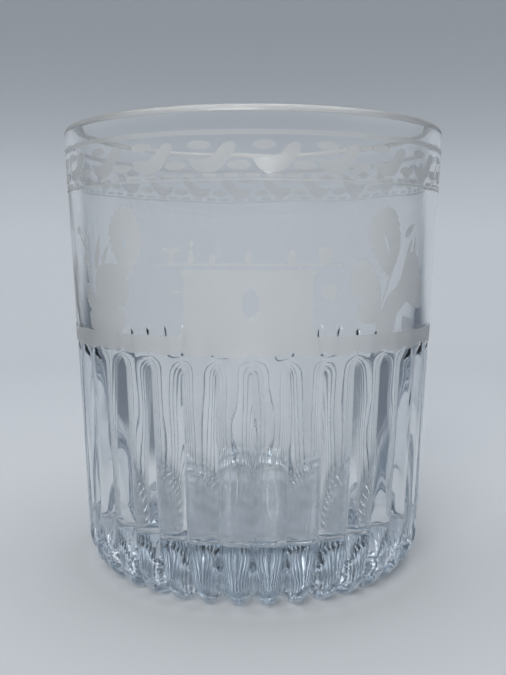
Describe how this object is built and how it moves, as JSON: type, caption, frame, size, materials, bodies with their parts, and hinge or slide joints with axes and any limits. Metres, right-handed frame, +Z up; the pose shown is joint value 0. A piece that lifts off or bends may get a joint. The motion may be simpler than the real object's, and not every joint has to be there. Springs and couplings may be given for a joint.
{
  "type": "whiskey tumbler",
  "caption": "Clear glass tumbler with a ribbed lower half ending in rounded foot knobs, and satin etched flowers, pedestal and rim frieze on its plain upper wall.",
  "frame": {"origin": "centre of the flat underside, on the surface the tumbler stands on", "axes": "+Z up along the tumbler's axis; the etched pedestal faces -Y; +X is to the right as seen from the front"},
  "size_m": [0.0824, 0.0824, 0.095],
  "materials": {
    "clear_glass": "fire-polished clear glass with a faint cool tint",
    "satin_glass": "acid-etched satin glass"
  },
  "bodies": {
    "root": {"base_disc": "clear_glass", "foot_knobs": "clear_glass", "ribs": "clear_glass", "lower_wall": "clear_glass", "upper_wall": "clear_glass", "rim_lip": "clear_glass", "satin_band": "satin_glass", "frieze_top_line": "satin_glass", "frieze_foot_line": "satin_glass", "frieze_ribbons": "satin_glass", "frieze_ovals": "satin_glass", "frieze_dashes": "satin_glass", "pedestal_panel": "satin_glass", "pedestal_shelf": "satin_glass", "shelf_ornaments": "satin_glass", "field_marks": "satin_glass", "left_flower": "satin_glass", "left_leaves": "satin_glass", "right_flower": "satin_glass", "right_leaves": "satin_glass"}
  },
  "joints": []
}
